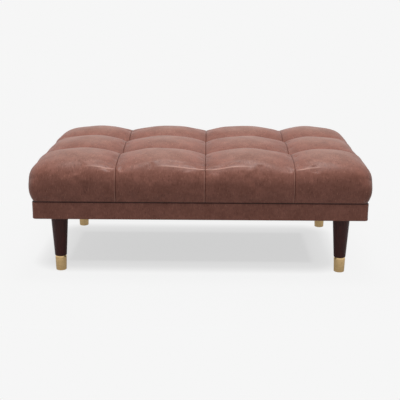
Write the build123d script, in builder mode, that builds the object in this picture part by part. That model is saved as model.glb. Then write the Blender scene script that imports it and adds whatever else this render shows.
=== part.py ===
"""Tufted leather footstool: a biscuit-tufted cushion on a low upholstered frame with four ferruled legs.

Frame: millimetres, +Z up, +X to the sitter's right, -Y to the front.
The origin is on the floor under the middle of the stool.
"""

from build123d import *

import os
from math import sqrt

# Overall form
base_width = 1076
base_depth = 686
leg_length = 195
base_height = 57

# Soft materials
leather = 1.5
wadding = 12
turn_in = 24

# Cushion outline: the sides bow out past the base above the joint and are drawn in at it
end_bulge = 13.5
front_bulge = 24
side_draw_in = 20.5
widest_rise = 64
corner_radius_low = 20
corner_radius_high = 62

# Cushion top: its crown above the joint, and how far each other level lies below the crown
crown_rise = 154
seam_dip = 23.5
tuft_dip = 54.5
rim_dip = 43
rim_seam_dip = 50
rim_corner_dip = 60

# Seam grid: the three fore-and-aft seams are set a little to the right of the middle
column_pitch = 283
row_pitch = 253
seam_shift = 16

# Upholstered frame
band_corner_radius = 13
band_edge_radius = 4
band_padding = 4
rail_thickness = 22
cross_rail_offset = 140
cross_rail_thickness = 30

# Cushion board, and the twine that pulls the cover down at each tuft
board_thickness = 12
board_hole_radius = 4
foam_hole_radius = 3
twine_radius = 1.2
twine_gap = 0.3
toggle_radius = 12
toggle_thickness = 2.5
knot_radius = 3.5
knot_height = 5

# Corner blocks
block_side = 132
block_tip = 10
block_height = 38
block_screw_offset = 96
deck_screw_inset = 15

# Leg fixings
leg_inset_x = 75
leg_inset_y = 76
bolt_radius = 4
bolt_in_leg = 46
bolt_projection = 2
bolt_chamfer = 1
bolt_gap = 0.1
bolt_clearance = 0.5
nut_flange_radius = 11
nut_flange_thickness = 1.6
nut_barrel_radius = 5.5
nut_barrel_length = 9
nut_gap = 0.1

# Screws and dowels
screw_radius = 2.2
screw_head_radius = 4.5
screw_head_height = 2.8
screw_point = 4
screw_gap = 0.1
screw_head_gap = 0.5
screw_recess = 24
block_screw_length = 52
block_screw_bite = 16
deck_screw_length = 50
deck_screw_bite = 9
deck_screw_pitch = 200
dowel_radius = 4
dowel_length = 36
dowel_gap = 0.1
dowel_pitch = 26

# Legs, ferrules and glides
leg_top_radius = 28.5
leg_foot_radius = 19.6
leg_top_chamfer = 1
ferrule_height = 50
ferrule_top_radius = 18.8
ferrule_foot_radius = 17.2
ferrule_bevel_height = 4.5
ferrule_bevel_depth = 2.2
ferrule_wall = 1.2
ferrule_floor = 1.6
ferrule_foot_chamfer = 1
spigot_gap = 0.1
glide_radius = 12.5
glide_thickness = 1.5
glide_chamfer = 0.7
nail_radius = 1.2
nail_length = 16
nail_point = 2
nail_gap = 0.1

# Dust cover
dust_cover_thickness = 0.8
dust_cover_inset = 12
dust_cover_corner_radius = 8
dust_cover_leg_gap = 0.7

# How far a form overruns a cut, and where sections stand between two limits
overrun = 4
row_shares = (0.4, 0.75, 1)
side_shares = (0, 0.25, 0.5, 0.75, 1)

# Levels
joint_level = leg_length + base_height
rail_bottom = leg_length + leather
rail_top = joint_level - leather
rail_height = rail_top - rail_bottom
board_bottom = joint_level + leather
board_top = board_bottom + board_thickness
widest_level = joint_level + widest_rise
shoulder_level = widest_level + widest_rise
crown_level = joint_level + crown_rise
tuft_level = crown_level - tuft_dip
block_top = rail_bottom + block_height
ferrule_top = glide_thickness + ferrule_height
spigot_bottom = glide_thickness + ferrule_floor + spigot_gap

# The ferrule is bevelled in to its rim, and the wood above it is rounded in to the same rim
ferrule_rim_radius = ferrule_top_radius - ferrule_bevel_depth
ferrule_bore_radius = ferrule_rim_radius - ferrule_wall
leg_foot_rounding = leg_foot_radius - ferrule_rim_radius

# Plan sizes
widest_half_x = base_width / 2 + end_bulge
widest_half_y = base_depth / 2 + front_bulge
frame_width = base_width - 2 * (leather + band_padding)
frame_depth = base_depth - 2 * (leather + band_padding)
frame_corner_radius = band_corner_radius - leather - band_padding
inner_half_x = frame_width / 2 - rail_thickness
inner_half_y = frame_depth / 2 - rail_thickness
leg_x = base_width / 2 - leg_inset_x
leg_y = base_depth / 2 - leg_inset_y
column_seams = [seam_shift - column_pitch, seam_shift, seam_shift + column_pitch]
row_seams = [-row_pitch / 2, row_pitch / 2]
tuft_points = [(x, y) for x in column_seams for y in row_seams]
side_bow_radius = (widest_rise**2 + side_draw_in**2) / (2 * side_draw_in)
corners = {
    "front_left": (-1, -1),
    "front_right": (1, -1),
    "back_left": (-1, 1),
    "back_right": (1, 1),
}


def finish(piece, name):
    """Labels a finished piece and writes it under its node's name."""
    piece.label = name
    export_step(piece, f"parts/{name}.step")


# Fasteners and their holes

dowel_levels = [rail_bottom + rail_height / 2 + side * dowel_pitch / 2 for side in (-1, 1)]
corner_dowel_x = (frame_width - rail_thickness) / 2
dowel_xs = [-corner_dowel_x, -cross_rail_offset, cross_rail_offset, corner_dowel_x]
dowel_planes = [
    Plane(origin=(x, side * inner_half_y, level), x_dir=(1, 0, 0), z_dir=(0, side, 0))
    for side in (-1, 1)
    for x in dowel_xs
    for level in dowel_levels
]

block_seat = block_screw_length - block_screw_bite
block_screw_level = rail_bottom + block_height / 2
deck_screw_seat = board_bottom + deck_screw_bite - deck_screw_length


def block_screw_planes(corner):
    """The two screws of a corner block: one into the side rail and one into the front or back rail."""
    side_x, side_y = corner
    seat_x = side_x * (inner_half_x - block_seat)
    seat_y = side_y * (inner_half_y - block_seat)
    offset_x = side_x * (inner_half_x - block_screw_offset)
    offset_y = side_y * (inner_half_y - block_screw_offset)
    into_side_rail = Plane(origin=(seat_x, offset_y, block_screw_level), z_dir=(side_x, 0, 0))
    into_long_rail = Plane(origin=(offset_x, seat_y, block_screw_level), z_dir=(0, side_y, 0))
    return [into_side_rail, into_long_rail]


def block_deck_screw_plane(corner):
    """The screw that rises through a corner block into the cushion board."""
    side_x, side_y = corner
    spot = (side_x * (inner_half_x - deck_screw_inset), side_y * (inner_half_y - deck_screw_inset))
    return Plane(origin=(*spot, deck_screw_seat))


def cross_deck_screw_planes(side):
    """The screws that rise through one cross rail into the cushion board."""
    return [
        Plane(origin=(side * cross_rail_offset, step * deck_screw_pitch, deck_screw_seat))
        for step in (-1, 0, 1)
    ]


all_block_screw_planes = [plane for corner in corners.values() for plane in block_screw_planes(corner)]
all_deck_screw_planes = [block_deck_screw_plane(corner) for corner in corners.values()]
for side in (-1, 1):
    all_deck_screw_planes += cross_deck_screw_planes(side)


def screw_group(planes, length, name):
    """Identical pan-head screws. Each plane lies under a head and faces the way its screw points."""
    with BuildPart() as screw:
        with BuildSketch(Plane.XZ):
            with BuildLine():
                Polyline(
                    (0, -screw_head_height),
                    (screw_head_radius, -screw_head_height),
                    (screw_head_radius, 0),
                    (screw_radius, 0),
                    (screw_radius, length - screw_point),
                    (0, length),
                    close=True,
                )
            make_face()
        revolve()
    with BuildPart() as screws:
        with Locations(*planes):
            add(screw.part)
    finish(screws.part, name)


def screw_holes(planes, length):
    """What a screw takes out of the wood round it: its shank's hole and a recess behind its head."""
    with BuildPart() as holes:
        for plane in planes:
            with BuildSketch(plane):
                Circle(screw_radius + screw_gap)
            extrude(amount=length + screw_gap)
            with BuildSketch(plane):
                Circle(screw_head_radius + screw_head_gap)
            extrude(amount=-screw_recess)
    return holes.part


def dowel_holes():
    """The holes that the dowels sit in, half in each rail."""
    with BuildPart() as holes:
        with BuildSketch(*dowel_planes):
            Circle(dowel_radius + dowel_gap)
        extrude(amount=dowel_length / 2 + dowel_gap, both=True)
    return holes.part


def make_dowels():
    """Dowels across the joints of the rails, half of each in one rail and half in the other."""
    with BuildPart() as dowels:
        with BuildSketch(*[plane.offset(-dowel_length / 2) for plane in dowel_planes]):
            Circle(dowel_radius)
        extrude(amount=dowel_length)
    finish(dowels.part, "rail_dowels")


# Base frame


def make_long_rail(side, name):
    """Front or back rail, the full width of the frame, its outer corners rounded under the padding."""
    with BuildPart() as rail:
        with BuildSketch(Plane.XY.offset(rail_bottom)):
            with Locations((0, side * (inner_half_y + rail_thickness / 2))):
                Rectangle(frame_width, rail_thickness)
        extrude(amount=rail_height)
        upright = rail.edges().filter_by(Axis.Z).sort_by(Axis.Y)
        outer = upright[-2:] if side > 0 else upright[:2]
        fillet(outer, frame_corner_radius)
        add(dowel_holes(), mode=Mode.SUBTRACT)
        add(screw_holes(all_block_screw_planes, block_screw_length), mode=Mode.SUBTRACT)
    finish(rail.part, name)


def make_side_rail(side, name):
    """Left or right rail, which fits between the front and back rails."""
    with BuildPart() as rail:
        with BuildSketch(Plane.XY.offset(rail_bottom)):
            with Locations((side * (inner_half_x + rail_thickness / 2), 0)):
                Rectangle(rail_thickness, 2 * inner_half_y)
        extrude(amount=rail_height)
        add(dowel_holes(), mode=Mode.SUBTRACT)
        add(screw_holes(all_block_screw_planes, block_screw_length), mode=Mode.SUBTRACT)
    finish(rail.part, name)


def make_cross_rail(side, name):
    """Cross rail from front to back, as tall as the cushion board needs to bear on it."""
    with BuildPart() as rail:
        with BuildSketch(Plane.XY.offset(rail_bottom)):
            with Locations((side * cross_rail_offset, 0)):
                Rectangle(cross_rail_thickness, 2 * inner_half_y)
        extrude(amount=board_bottom - rail_bottom)
        add(dowel_holes(), mode=Mode.SUBTRACT)
        add(screw_holes(cross_deck_screw_planes(side), deck_screw_length), mode=Mode.SUBTRACT)
    finish(rail.part, name)


def make_corner_block(corner, name):
    """Blunt-tipped triangular block in a corner of the frame, bored for its leg's bolt and tee nut."""
    side_x, side_y = corner
    outline = [(0, 0), (block_side, 0), (block_side, block_tip), (block_tip, block_side), (0, block_side)]
    with BuildPart() as block:
        with BuildSketch(Plane.XY.offset(rail_bottom)):
            with BuildLine():
                points = [(side_x * (inner_half_x - u), side_y * (inner_half_y - v)) for u, v in outline]
                Polyline(*points, close=True)
            make_face()
        extrude(amount=block_height)
        with Locations((side_x * leg_x, side_y * leg_y, block_top)):
            CounterBoreHole(
                radius=bolt_radius + bolt_clearance,
                counter_bore_radius=nut_barrel_radius + nut_gap,
                counter_bore_depth=nut_barrel_length + nut_gap,
            )
        add(screw_holes(block_screw_planes(corner), block_screw_length), mode=Mode.SUBTRACT)
        add(screw_holes([block_deck_screw_plane(corner)], deck_screw_length), mode=Mode.SUBTRACT)
    finish(block.part, name)


# Leg fixings


def make_tee_nuts():
    """Tee nuts let into the tops of the corner blocks: a round flange over a threaded barrel."""
    with BuildPart() as nuts:
        for side_x, side_y in corners.values():
            with BuildSketch(Plane(origin=(side_x * leg_x, side_y * leg_y, block_top))):
                Circle(nut_flange_radius)
            extrude(amount=nut_flange_thickness)
            with BuildSketch(Plane(origin=(side_x * leg_x, side_y * leg_y, block_top))):
                Circle(nut_barrel_radius)
            extrude(amount=-nut_barrel_length)
            with Locations((side_x * leg_x, side_y * leg_y, block_top + nut_flange_thickness)):
                Hole(bolt_radius + bolt_gap)
    finish(nuts.part, "leg_tee_nuts")


def make_hanger_bolts():
    """Hanger bolts, set in the tops of the legs and screwed up through the tee nuts."""
    bolt_bottom = rail_bottom - bolt_in_leg
    bolt_length = block_top + nut_flange_thickness + bolt_projection - bolt_bottom
    with BuildPart() as bolts:
        for side_x, side_y in corners.values():
            with BuildSketch(Plane(origin=(side_x * leg_x, side_y * leg_y, bolt_bottom))):
                Circle(bolt_radius)
            extrude(amount=bolt_length)
        chamfer(bolts.edges().filter_by(GeomType.CIRCLE), bolt_chamfer)
    finish(bolts.part, "leg_hanger_bolts")


# Legs


def leg_plane(corner):
    """An upright plane through a leg's axis, with its origin on the floor."""
    side_x, side_y = corner
    return Plane(origin=(side_x * leg_x, side_y * leg_y, 0), x_dir=(1, 0, 0), z_dir=(0, -1, 0))


def make_leg(corner, name):
    """Turned leg: a long taper, a foot rounded in to the ferrule's rim and a spigot in its bore."""
    upright = leg_plane(corner)
    spigot_radius = ferrule_bore_radius - spigot_gap
    rounding_centre = (leg_foot_radius - leg_foot_rounding, ferrule_top + leg_foot_rounding)
    diagonal = leg_foot_rounding / sqrt(2)
    with BuildPart() as leg:
        with BuildSketch(upright):
            with BuildLine():
                Polyline(
                    (rounding_centre[0], ferrule_top),
                    (spigot_radius, ferrule_top),
                    (spigot_radius, spigot_bottom),
                    (0, spigot_bottom),
                    (0, rail_bottom),
                    (leg_top_radius - leg_top_chamfer, rail_bottom),
                    (leg_top_radius, rail_bottom - leg_top_chamfer),
                    (leg_foot_radius, rounding_centre[1]),
                )
                ThreePointArc(
                    (leg_foot_radius, rounding_centre[1]),
                    (rounding_centre[0] + diagonal, rounding_centre[1] - diagonal),
                    (rounding_centre[0], ferrule_top),
                )
            make_face()
        revolve(axis=Axis(upright.origin, upright.y_dir))
        with Locations(Plane(origin=upright.origin + Vector(0, 0, rail_bottom))):
            Hole(bolt_radius + bolt_gap, depth=bolt_in_leg + bolt_gap)
        with Locations(Plane(origin=upright.origin + Vector(0, 0, spigot_bottom), z_dir=(0, 0, -1))):
            Hole(nail_radius + nail_gap, depth=nail_length + nail_gap)
    finish(leg.part, name)


def make_ferrule(corner, name):
    """Brass ferrule: a tapered cup set in from the wood above it, bevelled in to a narrower rim."""
    upright = leg_plane(corner)
    floor_top = glide_thickness + ferrule_floor
    with BuildPart() as ferrule:
        with BuildSketch(upright):
            with BuildLine():
                Polyline(
                    (nail_radius + nail_gap, glide_thickness),
                    (ferrule_foot_radius, glide_thickness),
                    (ferrule_top_radius, ferrule_top - ferrule_bevel_height),
                    (ferrule_rim_radius, ferrule_top),
                    (ferrule_bore_radius, ferrule_top),
                    (ferrule_bore_radius, floor_top),
                    (nail_radius + nail_gap, floor_top),
                    close=True,
                )
            make_face()
        revolve(axis=Axis(upright.origin, upright.y_dir))
        foot_edges = ferrule.edges().filter_by(GeomType.CIRCLE).group_by(Axis.Z)[0]
        chamfer(foot_edges.sort_by(SortBy.RADIUS)[-1], ferrule_foot_chamfer)
    finish(ferrule.part, name)


def make_glide(corner, name):
    """Nail-on glide: a low bevelled disc with its nail up through the ferrule into the leg."""
    upright = leg_plane(corner)
    nail_tip = glide_thickness + nail_length
    with BuildPart() as glide:
        with BuildSketch(upright):
            with BuildLine():
                Polyline(
                    (0, 0),
                    (glide_radius, 0),
                    (glide_radius, glide_thickness),
                    (nail_radius, glide_thickness),
                    (nail_radius, nail_tip - nail_point),
                    (0, nail_tip),
                    close=True,
                )
            make_face()
        revolve(axis=Axis(upright.origin, upright.y_dir))
        foot_edges = glide.edges().filter_by(GeomType.CIRCLE).group_by(Axis.Z)[0]
        chamfer(foot_edges.sort_by(SortBy.RADIUS)[-1], glide_chamfer)
    finish(glide.part, name)


# Upholstery of the base


def band_block(inset):
    """The base's outer form, inset evenly, with its long edges rounded top and bottom."""
    with BuildPart() as block:
        with BuildSketch(Plane.XY.offset(leg_length + inset)):
            RectangleRounded(base_width - 2 * inset, base_depth - 2 * inset, band_corner_radius - inset)
        extrude(amount=base_height - 2 * inset)
        rims = block.edges().group_by(Axis.Z)
        fillet(rims[0] + rims[-1], band_edge_radius - inset)
    return block.part


def make_base_padding():
    """Thin padding round the outside of the rails."""
    with BuildPart() as padding:
        add(band_block(leather))
        with BuildSketch(Plane.XY.offset(rail_bottom)):
            RectangleRounded(frame_width, frame_depth, frame_corner_radius)
        extrude(amount=rail_height, mode=Mode.SUBTRACT)
    finish(padding.part, "base_padding")


def make_base_cover():
    """Leather band over the padding, turned in over the tops and bottoms of the rails."""
    with BuildPart() as cover:
        add(band_block(0))
        add(band_block(leather), mode=Mode.SUBTRACT)
        with BuildSketch(Plane.XY.offset(leg_length)):
            Rectangle(base_width - 2 * turn_in, base_depth - 2 * turn_in)
        extrude(amount=base_height, mode=Mode.SUBTRACT)
    finish(cover.part, "base_cover")


def make_dust_cover():
    """Cloth across the underside, stapled over the turned-in leather, with a hole for each leg."""
    with BuildPart() as cloth:
        with BuildSketch(Plane.XY.offset(leg_length)):
            RectangleRounded(
                base_width - 2 * dust_cover_inset,
                base_depth - 2 * dust_cover_inset,
                dust_cover_corner_radius,
            )
            with Locations(*[(side_x * leg_x, side_y * leg_y) for side_x, side_y in corners.values()]):
                Circle(leg_top_radius + dust_cover_leg_gap, mode=Mode.SUBTRACT)
        extrude(amount=-dust_cover_thickness)
    finish(cloth.part, "dust_cover")


# Cushion form


def draw_in_at(level):
    """How far the cushion's side lies inside its widest outline at a level: a circular bow."""
    return side_bow_radius - sqrt(side_bow_radius**2 - (level - widest_level) ** 2)


def half_size(level, inset):
    """Half the cushion's width and depth at a level, inset evenly."""
    shrink = draw_in_at(level) + inset
    return widest_half_x - shrink, widest_half_y - shrink


def bowed_block(inset, bottom):
    """The cushion's bowed sides as a block, inset evenly, from a level up past the crown."""
    with BuildPart() as block:
        for share in side_shares:
            level = bottom + share * (shoulder_level - bottom)
            rise_share = (level - joint_level) / (shoulder_level - joint_level)
            corner_radius = corner_radius_low + (corner_radius_high - corner_radius_low) * rise_share
            half_x, half_y = half_size(level, inset)
            with BuildSketch(Plane.XY.offset(level)):
                RectangleRounded(2 * half_x, 2 * half_y, corner_radius - inset)
        loft()
        extrude(block.faces().sort_by(Axis.Z)[-1], amount=crown_rise)
    return block.part


def section_levels(kind):
    """Levels of the crowns, the seams between them and the outer ends, where a section runs
    along the crest of a row, along the seam between two rows, or along the rim."""
    drops = {
        "crest": (0, seam_dip, rim_dip),
        "seam": (seam_dip, tuft_dip, rim_seam_dip),
        "rim": (rim_dip, rim_seam_dip, rim_corner_dip),
    }[kind]
    return [crown_level - drop for drop in drops]


def draw_section(depth, levels, inset):
    """A closed upright section at a depth: four arcs that meet at the seams, over a flat bottom."""
    crown, seam, rim = [level - inset for level in levels]
    reach = widest_half_x + overrun
    edges = [-reach, *column_seams, reach]
    heights = [rim, seam, seam, seam, rim]
    bottom = joint_level - overrun
    with BuildSketch(Plane.XZ.offset(-depth)) as section:
        with BuildLine():
            for i in range(len(column_seams) + 1):
                ThreePointArc(
                    (edges[i], heights[i]),
                    ((edges[i] + edges[i + 1]) / 2, crown),
                    (edges[i + 1], heights[i + 1]),
                )
            Polyline((reach, rim), (reach, bottom), (-reach, bottom), (-reach, rim))
        make_face()
    return section.sketch


def biscuit_row(start, start_kind, end, end_kind, inset):
    """One row of biscuits: its sections fall away from the crest on a parabola, to a seam or the rim."""
    crest = (start + end) / 2
    stations = [(crest, section_levels("crest"))]
    for limit, kind in ((start, start_kind), (end, end_kind)):
        for share in row_shares:
            levels = [
                high + (low - high) * share**2
                for high, low in zip(section_levels("crest"), section_levels(kind))
            ]
            stations.append((crest + share * (limit - crest), levels))
    stations.sort(key=lambda station: station[0])
    with BuildPart() as row:
        for depth, levels in stations:
            add(draw_section(depth, levels, inset))
        loft()
    return row.part


def cushion_form(inset, bottom):
    """The whole tufted cushion, inset evenly, down to a level."""
    reach = widest_half_y + overrun
    front_seam, back_seam = row_seams
    with BuildPart() as form:
        add(biscuit_row(-reach, "rim", front_seam, "seam", inset))
        add(biscuit_row(front_seam, "seam", back_seam, "seam", inset))
        add(biscuit_row(back_seam, "seam", reach, "rim", inset))
        add(bowed_block(inset, bottom), mode=Mode.INTERSECT)
    return form.part


# Cushion

board_half_x, board_half_y = half_size(board_bottom, leather + wadding)
board_corner_radius = corner_radius_low - leather - wadding


def make_cushion_board():
    """Plywood board under the foam, bored for the tufting twines and for the screws from below."""
    with BuildPart() as board:
        with BuildSketch(Plane.XY.offset(board_bottom)):
            RectangleRounded(2 * board_half_x, 2 * board_half_y, board_corner_radius)
            with Locations(*tuft_points):
                Circle(board_hole_radius, mode=Mode.SUBTRACT)
        extrude(amount=board_thickness)
        add(screw_holes(all_deck_screw_planes, deck_screw_length), mode=Mode.SUBTRACT)
    finish(board.part, "cushion_board")


def make_cushion_foam(core):
    """Foam core on the board, bored where the twines pass."""
    with BuildPart() as foam:
        add(core)
        with BuildSketch(Plane.XY.offset(board_top)):
            with Locations(*tuft_points):
                Circle(foam_hole_radius)
        extrude(amount=crown_rise, mode=Mode.SUBTRACT)
    finish(foam.part, "cushion_foam")


def make_cushion_wadding(core, lining):
    """Wadding over the foam and round the edge of the board."""
    with BuildPart() as wrap:
        add(lining)
        add(core, mode=Mode.SUBTRACT)
        with BuildSketch(Plane.XY.offset(board_bottom)):
            RectangleRounded(2 * board_half_x, 2 * board_half_y, board_corner_radius)
        extrude(amount=board_thickness, mode=Mode.SUBTRACT)
        with BuildSketch(Plane.XY.offset(board_top)):
            with Locations(*tuft_points):
                Circle(foam_hole_radius)
        extrude(amount=crown_rise, mode=Mode.SUBTRACT)
    finish(wrap.part, "cushion_wadding")


def make_cushion_cover(lining):
    """Leather cover over the wadding, turned in under the board."""
    opening_half_x, opening_half_y = half_size(joint_level, turn_in)
    with BuildPart() as cover:
        add(cushion_form(0, joint_level))
        add(lining, mode=Mode.SUBTRACT)
        with BuildSketch(Plane.XY.offset(joint_level)):
            Rectangle(2 * opening_half_x, 2 * opening_half_y)
        extrude(amount=leather, mode=Mode.SUBTRACT)
    finish(cover.part, "cushion_cover")


def make_tufting_twines():
    """Twine from each tuft down through the cushion and its board to a knot under the toggle."""
    top = tuft_level - leather - twine_gap
    knot_top = board_bottom - toggle_thickness
    with BuildPart() as twines:
        with BuildSketch(Plane.XY.offset(knot_top)):
            with Locations(*tuft_points):
                Circle(twine_radius)
        extrude(amount=top - knot_top)
        with BuildSketch(Plane.XY.offset(knot_top)):
            with Locations(*tuft_points):
                Circle(knot_radius)
        extrude(amount=-knot_height)
    finish(twines.part, "tufting_twines")


def make_tufting_toggles():
    """Round toggles under the board, which the twines are knotted against."""
    with BuildPart() as toggles:
        with BuildSketch(Plane.XY.offset(board_bottom)):
            with Locations(*tuft_points):
                Circle(toggle_radius)
                Circle(twine_radius + twine_gap, mode=Mode.SUBTRACT)
        extrude(amount=-toggle_thickness)
    finish(toggles.part, "tufting_toggles")


os.makedirs("parts", exist_ok=True)

make_long_rail(-1, "front_rail")
make_long_rail(1, "back_rail")
make_side_rail(-1, "left_rail")
make_side_rail(1, "right_rail")
make_cross_rail(-1, "left_cross_rail")
make_cross_rail(1, "right_cross_rail")
make_dowels()
screw_group(all_block_screw_planes, block_screw_length, "block_screws")
screw_group(all_deck_screw_planes, deck_screw_length, "cushion_screws")
make_tee_nuts()
make_hanger_bolts()

for place, corner in corners.items():
    make_corner_block(corner, f"corner_block_{place}")
    make_leg(corner, f"leg_{place}")
    make_ferrule(corner, f"ferrule_{place}")
    make_glide(corner, f"glide_{place}")

make_base_padding()
make_base_cover()
make_dust_cover()

foam_core = cushion_form(leather + wadding, board_top)
cover_lining = cushion_form(leather, board_bottom)
make_cushion_board()
make_cushion_foam(foam_core)
make_cushion_wadding(foam_core, cover_lining)
make_cushion_cover(cover_lining)
make_tufting_twines()
make_tufting_toggles()
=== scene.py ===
import math

import bpy
import numpy as np
from mathutils import Matrix, Vector


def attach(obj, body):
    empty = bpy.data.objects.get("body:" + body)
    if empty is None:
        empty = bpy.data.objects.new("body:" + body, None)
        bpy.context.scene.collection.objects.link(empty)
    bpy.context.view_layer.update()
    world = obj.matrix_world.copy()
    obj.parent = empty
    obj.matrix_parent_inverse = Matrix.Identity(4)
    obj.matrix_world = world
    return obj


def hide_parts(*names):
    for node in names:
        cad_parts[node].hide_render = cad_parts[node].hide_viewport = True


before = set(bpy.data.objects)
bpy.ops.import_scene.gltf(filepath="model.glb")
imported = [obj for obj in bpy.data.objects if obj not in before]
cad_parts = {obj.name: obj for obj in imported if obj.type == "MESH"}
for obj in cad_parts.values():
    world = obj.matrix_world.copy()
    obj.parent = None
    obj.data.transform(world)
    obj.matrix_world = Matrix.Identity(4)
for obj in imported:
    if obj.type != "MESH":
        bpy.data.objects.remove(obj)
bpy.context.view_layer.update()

# Sizes are in metres: x runs to the right along the stool, y to its back and z up from the floor

JOINT_Z = 0.2520            # the cushion meets the base band here
LEATHER = 0.0015

# Cushion: its plan, its seams and the levels of its top
RIM_HALF = np.array([0.530, 0.345])
RIM_RADIUS = 0.062
FOOT_RADIUS = 0.020         # corner radius at the joint
CORNER_DRAW = 0.018         # the corners get this much tighter from the top down round the rim
COLUMN_SEAMS = np.array([-0.267, 0.016, 0.299])
ROW_SEAMS = np.array([-0.1265, 0.1265])
SEAM_WIDTH = 0.0012
SEAM_DEPTH = 0.0030
LAP_SHIFT = 0.0024          # the lapped edge of a seam lies this far to its left
LAP_WIDTH = 0.0013
SEAM_PAINTED_SHADE = 0.09             # painted shade in a seam, where the painted light of a crown is 1
TUFT_Z = 0.3562
TUFT_PULL = 0.0040          # each tuft pulls its corners down this far, within TUFT_REACH
TUFT_REACH = 0.016
SWELL_ACROSS = 0.0187       # rise of a biscuit across the columns, along the rows and by both
SWELL_ALONG = 0.0225
SWELL_BOTH = 0.0027
RIM_ACROSS = 0.0125         # the first two at the rims
RIM_ALONG = 0.0100
STUFFING = 0.0009           # unevenness of the stuffing

# Cushion: its rolled edge and its sides
TIGHT_ROLL = 0.007          # radius of the edge at a seam
WIDE_ROLL = np.array([0.056, 0.035])    # and mid-biscuit, at the two ends and along the stool
BULGE = 0.0197
BULGE_Z = 0.3154
FOOT_OUT = 0.0025           # the foot stands out this far past the rim
CURL = 0.0030               # the leather curls in over the joint at this radius
TINY = 0.0005               # step for slopes

# Cushion: the filling
FILL_SPARE = -0.005         # share by which the leather is cut too small; under 0 it is too large
FILL_CAP = 0.0040           # farthest that filling moves the leather
SEWN_REACH = 0.004          # the move fades out over this distance from a seam

# Base band and underside
BAND_HALF = np.array([0.538, 0.343])
BAND_LOW = 0.1950
BAND_RADIUS = 0.013
BAND_EDGE = 0.0030
TURN_IN = 0.024
PADDING = 0.004
CLOTH_HALF = np.array([0.526, 0.331])
CLOTH_RADIUS = 0.008
CLOTH_THICKNESS = 0.0006
LEG_AT = np.array([0.463, 0.267])
LEG_HOLE = 0.0292
STAPLE_PITCH = 0.036
STAPLE_CROWN = 0.0100
STAPLE_WIRE = 0.0006


# Meshes


def solid(name, points, faces, smooth=True):
    """A mesh object from an array of points and a list of face index arrays."""
    mesh = bpy.data.meshes.new(name)
    loops = np.concatenate([np.asarray(f).ravel() for f in faces])
    totals = np.concatenate([np.full(len(f), np.asarray(f).shape[1]) for f in faces])
    starts = np.concatenate([[0], np.cumsum(totals)[:-1]])
    mesh.vertices.add(len(points))
    mesh.vertices.foreach_set("co", np.asarray(points, np.float32).ravel())
    mesh.loops.add(len(loops))
    mesh.loops.foreach_set("vertex_index", loops.astype(np.int32))
    mesh.polygons.add(len(totals))
    mesh.polygons.foreach_set("loop_start", starts.astype(np.int32))
    mesh.polygons.foreach_set("use_smooth", np.full(len(totals), smooth))
    mesh.update(calc_edges=True)
    mesh.validate()
    made = bpy.data.objects.new(name, mesh)
    bpy.context.scene.collection.objects.link(made)
    return made


def mark(made, name, values):
    """Stores one value for each point of a mesh, for its material to read."""
    layer = made.data.attributes.new(name, "FLOAT", "POINT")
    layer.data.foreach_set("value", values.ravel().astype(np.float32))


def strip(low, high):
    """Quads between two closed rows of indices, and triangles where the low row repeats a point."""
    a, b = low, np.roll(low, -1)
    c, d = np.roll(high, -1), high
    same = a == b
    quads = np.stack([d, c, b, a], 1)[~same]
    threes = np.stack([d, c, a], 1)[same]
    return quads, threes


def grid_cells(index):
    """Quads between the neighbours of a grid of indices."""
    corners = [index[:-1, :-1], index[1:, :-1], index[1:, 1:], index[:-1, 1:]]
    return np.stack(corners, -1)


def crowded(low, high, creases, fine, coarse, reach):
    """Grid lines from low to high. Their spacing grows evenly from fine on a crease to coarse at
    reach from it, and one line lies on each crease."""
    at = np.linspace(low, high, 20001)
    near = np.min(np.abs(at[:, None] - creases[None, :]), axis=1)
    step = fine + (coarse - fine) * np.clip(near / reach, 0, 1)
    count = np.concatenate([[0], np.cumsum(0.5 * (1 / step[1:] + 1 / step[:-1]) * np.diff(at))])
    lines = np.interp(np.linspace(0, count[-1], int(count[-1]) + 2), count, at)
    for crease in creases:
        lines[np.argmin(np.abs(lines - crease))] = crease
    return lines


def round_columns(x_lines, y_lines, corner_steps):
    """The columns that run down a rounded rectangle, in order round it: the side that each is on
    (0 front, 1 right, 2 back, 3 left, 4 to 7 the corners after them), its place along that side
    and its angle round the corner."""
    turn = np.arange(1, corner_steps) / corner_steps * np.pi / 2
    parts = []
    for k, line in enumerate([x_lines, y_lines, x_lines[::-1], y_lines[::-1]]):
        parts.append((np.full(len(line), k), line, 0 * line))
        parts.append((np.full(len(turn), 4 + k), 0 * turn, turn))
    return [np.concatenate(v) for v in zip(*parts)]


def round_plan(side, place, angle, half, radius):
    """x and y of the columns on a rounded rectangle of that half size and corner radius. place is
    a pair: where the columns of the long sides are in x, and those of the ends in y."""
    hx, hy = half
    begin = np.array([-0.5, 0.0, 0.5, 1.0])[side % 4] * np.pi
    cx = np.array([1, 1, -1, -1])[side % 4] * (hx - radius)
    cy = np.array([-1, 1, 1, -1])[side % 4] * (hy - radius)
    on = [side == 0, side == 1, side == 2, side == 3]
    x = np.select(on, [place[0], hx, place[0], -hx], cx + radius * np.cos(begin + angle))
    y = np.select(on, [-hy, place[1], hy, place[1]], cy + radius * np.sin(begin + angle))
    return x, y


def outward(side, angle):
    """Plan direction that each column faces."""
    begin = np.array([-0.5, 0.0, 0.5, 1.0])[side % 4] * np.pi
    facing = np.where(side < 4, begin, begin + angle)
    return np.cos(facing), np.sin(facing)


def nearest(v, seams):
    """Distance from v to the nearest seam."""
    return np.min(np.abs(np.asarray(v)[..., None] - seams), axis=-1)


def ripple(x, y, z):
    """Hand-made unevenness of the stuffing: a sum of long crossed sine waves with fixed phases."""
    return (
        np.sin(31 * x + 17 * y + 0.4) * np.sin(23 * y - 11 * x + 1.9)
        + 0.6 * np.sin(57 * x - 29 * y + 41 * z + 2.2)
        + 0.5 * np.sin(73 * y + 38 * x - 33 * z + 4.1)
    )


# Tufted cushion


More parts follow.
